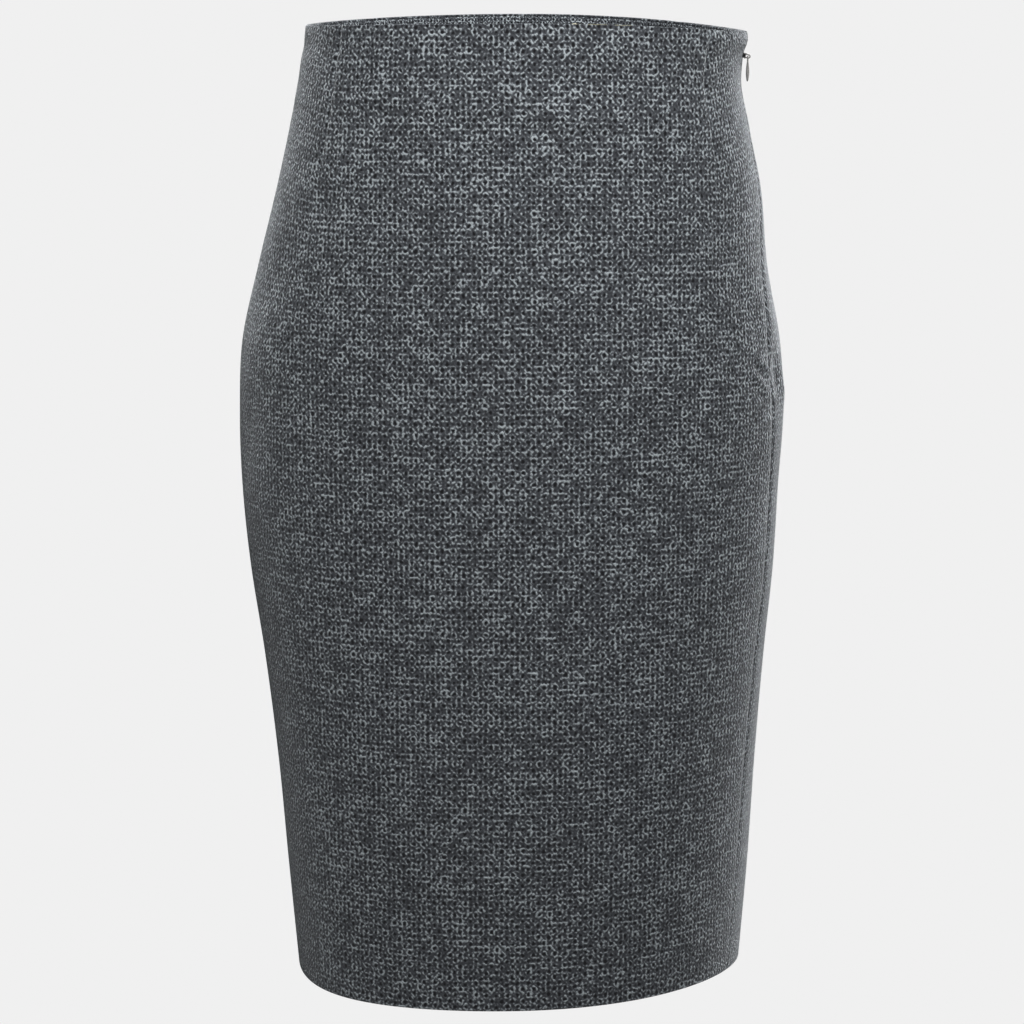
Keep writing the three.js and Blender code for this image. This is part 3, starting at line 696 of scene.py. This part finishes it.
def makeThread(name, begin, end, radius, light, shade):
    # It lies in the crease between the front's top edge and the facing, wandering a little by sines of the
    # bearing, and thins at both ends by a root of a half sine
    t = np.linspace(0, 1, threadPath["points"] + int(threadPath["perDegree"] * (end - begin)))
    bearing = begin + (end - begin) * t
    way = np.radians(bearing)
    first, second = threadPath["sways"]
    row = threadPath["row"] + threadPath["sway"] * np.sin(first * way) * np.sin(second * way)
    path = skin(bearing, row, -threadPath["under"] + threadPath["lift"] * np.sin(threadPath["lifts"] * way))
    along = threadPath["taperEnd"] + (1 - 2 * threadPath["taperEnd"]) * t
    material, tree, shader = newMaterial(name)
    place = nodeIn(tree, "ShaderNodeTexCoord").outputs["Object"]
    ply = waveNode(tree, place, threadPath["plyScale"], threadPath["plyWaver"])
    fillSockets(tree, shader, {"Base Color": rampOf(tree, ply, ((0.0, shade), (0.5, light))),
                               "Roughness": threadPath["roughness"]})
    radii = radius * np.sin(np.pi * along) ** threadPath["taper"]
    return finishPiece(tube(name, path, radii, threadPath["sides"], material), "root", "tweed")


for threadName, threadValues in threads.items():
    makeThread(threadName, **threadValues)

# The zip: two tapes, two rows of coil, the slider and its pull tab
tapeLook = {"ribScale": 900.0, "ribWaver": 0.4, "dark": (0.006, 0.006, 0.008, 1),
            "light": (0.022, 0.023, 0.026, 1), "bump": 0.0002, "bumpStrength": 0.4, "roughness": 0.8}
metalLook = {"wearNoise": (900.0, 3.0), "worn": (0.22, 0.215, 0.21, 1), "bright": (0.30, 0.292, 0.285, 1),
             "wornAt": 0.35, "brightAt": 0.65, "roughLeast": 0.16, "roughSpread": 0.12}


def tapeMaterial():
    material, tree, shader = newMaterial("zipTape")
    cloth = nodeIn(tree, "ShaderNodeUVMap", {"uv_map": "cloth"}).outputs["UV"]
    ribs = waveNode(tree, cloth, tapeLook["ribScale"], tapeLook["ribWaver"])
    fillSockets(tree, shader, {
        "Base Color": rampOf(tree, ribs, ((0.0, tapeLook["dark"]), (1.0, tapeLook["light"]))),
        "Normal": bumpNode(tree, ribs, tapeLook["bumpStrength"], tapeLook["bump"]),
        "Roughness": tapeLook["roughness"]})
    return material


def metalMaterial():
    material, tree, shader = newMaterial("zipMetal")
    place = nodeIn(tree, "ShaderNodeTexCoord").outputs["Object"]
    wear = noiseNode(tree, place, *metalLook["wearNoise"])["Fac"]
    stops = (metalLook["wornAt"], metalLook["worn"]), (metalLook["brightAt"], metalLook["bright"])
    rough = mathNode(tree, "MULTIPLY_ADD", wear, metalLook["roughSpread"], metalLook["roughLeast"])
    fillSockets(tree, shader, {"Base Color": rampOf(tree, wear, stops), "Roughness": rough, "Metallic": 1.0})
    return material


def makeTape(name, node, towards):
    # A flat strip just inside the cloth, beside the seam
    rows = rowList([zipper["top"], zipper["end"]])
    seam = seamBearing("left", rows, 0, 0)
    ends = [seam + towards * apart / perDegree(seam, rows)
            for apart in (zipper["fromSeam"], zipper["fromSeam"] + zipper["tapeWidth"])]
    fractions = evenSteps((zipper["tapeWidth"],), zipper["tapeStep"], 0)
    bearing = bearingGrid(sorted(ends, key=lambda e: e[0]), fractions)
    row = np.broadcast_to(rows[:, None], bearing.shape)
    outer = np.full(bearing.shape, -skirt["wall"] - skirt["gap"])
    piece = clothWall(name, bearing, row, outer, outer - zipper["tapeWall"], zipTape)
    return finishPiece(piece, "root", "zip_tape", node)


zipTape, zipMetal = tapeMaterial(), metalMaterial()
makeTape("zipTapeFront", "zip_tape_front", -1)
makeTape("zipTapeBack", "zip_tape_back", 1)

coil = {"pitch": 0.00145, "across": 0.00095, "deep": 0.00055, "fromSeam": 0.00062, "under": 0.0029,
        "radius": 0.00025, "steps": 10, "sides": 5, "belowSlider": 0.0035, "aboveEnd": 0.003}


def makeCoil(name, towards):
    # A flattened helix of nylon down a tape's inner edge, the two turned half a pitch apart
    begin, end = zipper["slider"] + coil["belowSlider"], zipper["end"] - coil["aboveEnd"]
    turns = int((end - begin) / coil["pitch"])
    angle = 2 * np.pi * np.linspace(0, turns, turns * coil["steps"]) + (np.pi if towards > 0 else 0)
    row = begin + coil["pitch"] * (angle - angle[0]) / (2 * np.pi)
    aside = towards * (coil["fromSeam"] + coil["across"] * np.cos(angle))
    seam = seamBearing("left", row, 0)
    path = skin(seam + aside / perDegree(seam, row), row, -coil["under"] + coil["deep"] * np.sin(angle))
    return finishPiece(tube(name, path, coil["radius"], coil["sides"], zipTape), "root", "zip_tape")


makeCoil("zipCoilFront", -1)
makeCoil("zipCoilBack", 1)

# How a metal solid is softened: what is merged, which angles in degrees are flat or an edge, and bevel widths
softening = {"weld": 1e-5, "flat": 1, "edge": 35, "segments": 2, "slider": 0.00018, "pull": 0.00022}


def softenedCopy(node, name, body, bevel):
    # A copy of a metal solid with its corners merged, its flat faces joined and its edges bevelled
    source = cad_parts[node]
    piece = bpy.data.objects.new(name, source.data.copy())
    bpy.context.scene.collection.objects.link(piece)
    mesh = bmesh.new()
    mesh.from_mesh(piece.data)
    bmesh.ops.remove_doubles(mesh, verts=mesh.verts, dist=softening["weld"])
    flat = math.radians(softening["flat"])
    bmesh.ops.dissolve_limit(mesh, angle_limit=flat, verts=mesh.verts, edges=mesh.edges)
    mesh.to_mesh(piece.data)
    mesh.free()
    piece.data.materials.clear()
    piece.data.materials.append(zipMetal)
    edges = piece.modifiers.new("softEdges", "BEVEL")
    edges.width, edges.segments, edges.limit_method = bevel, softening["segments"], "ANGLE"
    edges.angle_limit = math.radians(softening["edge"])
    piece.data.polygons.foreach_set("use_smooth", np.ones(len(piece.data.polygons), bool))
    return finishPiece(piece, body, "zip_metal", node)


softenedCopy("zip_slider", "zipSlider", "root", softening["slider"])
softenedCopy("zip_pull", "zipPull", "pull", softening["pull"])
# The stage: a pale floor far below in the colour of the backdrop, with no edge between them
backdrop = {"colour": (0.871, 0.871, 0.871, 1), "strength": 1.0, "floorDrop": 0.75, "floorSize": 400.0}
lights = {
    "key": {"at": (0.15, -1.15, 0.95), "to": (0.0, 0, -0.05), "size": 0.7, "power": 29.0},
    "fill": {"at": (-2.5, -0.75, -0.30), "to": (0, 0, -0.3), "size": 1.6, "power": 14.0},
    "side": {"at": (1.2, -0.45, 0.4), "to": (0.12, -0.05, -0.2), "size": 0.4, "power": 3.0},
    "edge": {"at": (0.83, 1.28, -0.55), "to": (0.14, 0.0, -0.35), "size": 0.5, "power": 4.0},
    "back": {"at": (-0.2, 2.0, 0.5), "to": (0, 0, -0.3), "size": 1.2, "power": 19.0},
    "hem": {"at": (0.42, 0.16, -0.66), "to": (0.13, -0.03, -0.56), "size": 0.25, "power": 0.4},
}
# The camera stands a little above the waist and looks down the skirt
view = {"at": (-0.0076, -2.05, 0.06), "down": 10.231, "lens": 113.94, "sensor": 36.0, "clipEnd": 1000.0}


def makeStage():
    world = bpy.data.worlds.new("backdrop")
    bpy.context.scene.world = world
    world.use_nodes = True
    background = world.node_tree.nodes["Background"]
    fillSockets(world.node_tree, background, {"Color": backdrop["colour"], "Strength": backdrop["strength"]})
    world.cycles_visibility.diffuse = False
    material, tree, shader = newMaterial("floorPaint")
    fillSockets(tree, shader, {
        "Base Color": (0, 0, 0, 1), "Specular IOR Level": 0,
        "Emission Color": backdrop["colour"], "Emission Strength": backdrop["strength"]})
    half, low = backdrop["floorSize"] / 2, -backdrop["floorDrop"]
    corners = [(-half, -half, low), (half, -half, low), (half, half, low), (-half, half, low)]
    floor = putMesh("floor", corners, [[0, 1, 2, 3]], None, material)
    floor.visible_diffuse = False


def addLight(name, at, to, size, power):
    lamp = bpy.data.lights.new(name, "AREA")
    lamp.shape, lamp.size, lamp.energy = "DISK", size, power
    holder = bpy.data.objects.new(name, lamp)
    holder.location = at
    holder.visible_camera = False
    holder.rotation_euler = (Vector(to) - Vector(at)).to_track_quat("-Z", "Y").to_euler()
    bpy.context.scene.collection.objects.link(holder)


def makeCamera():
    lens = bpy.data.cameras.new("camera")
    lens.lens, lens.sensor_width, lens.clip_end = view["lens"], view["sensor"], view["clipEnd"]
    camera = bpy.data.objects.new("camera", lens)
    camera.location = view["at"]
    camera.rotation_euler = (math.radians(90 - view["down"]), 0, 0)
    bpy.context.scene.collection.objects.link(camera)
    bpy.context.scene.camera = camera


makeStage()
for lightName, lightValues in lights.items():
    addLight(lightName, **lightValues)
makeCamera()
bpy.context.scene.view_settings.view_transform = "Standard"
print("made the stage,", len(lights), "lights and the camera")
